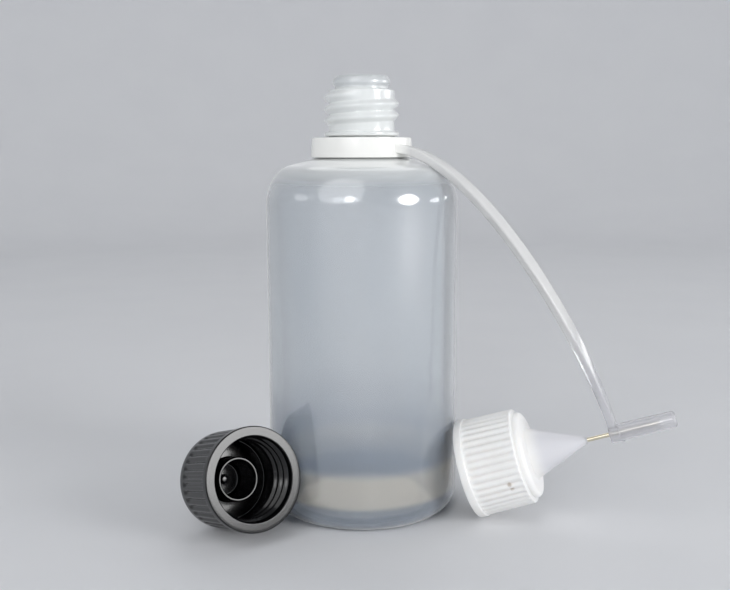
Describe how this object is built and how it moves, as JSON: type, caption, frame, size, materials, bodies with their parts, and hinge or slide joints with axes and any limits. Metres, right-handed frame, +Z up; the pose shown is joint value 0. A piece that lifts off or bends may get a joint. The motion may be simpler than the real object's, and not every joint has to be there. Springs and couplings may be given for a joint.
{
  "type": "needle tip applicator bottle",
  "caption": "Small translucent squeeze bottle with a threaded neck, a ribbed needle nozzle cap held by a tether strap and sleeve, and a loose black closing cap.",
  "frame": {"origin": "middle of the assembly's footprint, on the surface that it stands on", "axes": "+Z up along the bottle's axis, +X towards the nozzle cap and its needle, +Y away from the caps"},
  "size_m": [0.0914, 0.0458, 0.084],
  "materials": {
    "ldpe_clear": "translucent natural LDPE, blow moulded, soft gloss",
    "pe_white": "white polyethylene, injection moulded, satin",
    "pp_white": "white polypropylene, injection moulded, satin",
    "needle_steel": "drawn stainless tube, bright",
    "pp_black": "black polypropylene, injection moulded, satin"
  },
  "bodies": {
    "root": {"bottle_body": "ldpe_clear", "black_cap": "pp_black"},
    "tether": {"tether": "pe_white"},
    "nozzle": {"nozzle_cap": "pp_white", "needle": "needle_steel"}
  },
  "joints": [
    {"name": "collar_swivel", "type": "hinge", "parent": "root", "child": "tether", "pos_m": [-0.01184, 0.00436, 0.06877], "axis": [0, 0, 1], "range_deg": [-75, 170]},
    {"name": "needle_spin", "type": "hinge", "parent": "tether", "child": "nozzle", "pos_m": [0.03405, -0.00955, 0.01777], "axis": [0.915, -0.2469, 0.319], "continuous": true}
  ]
}
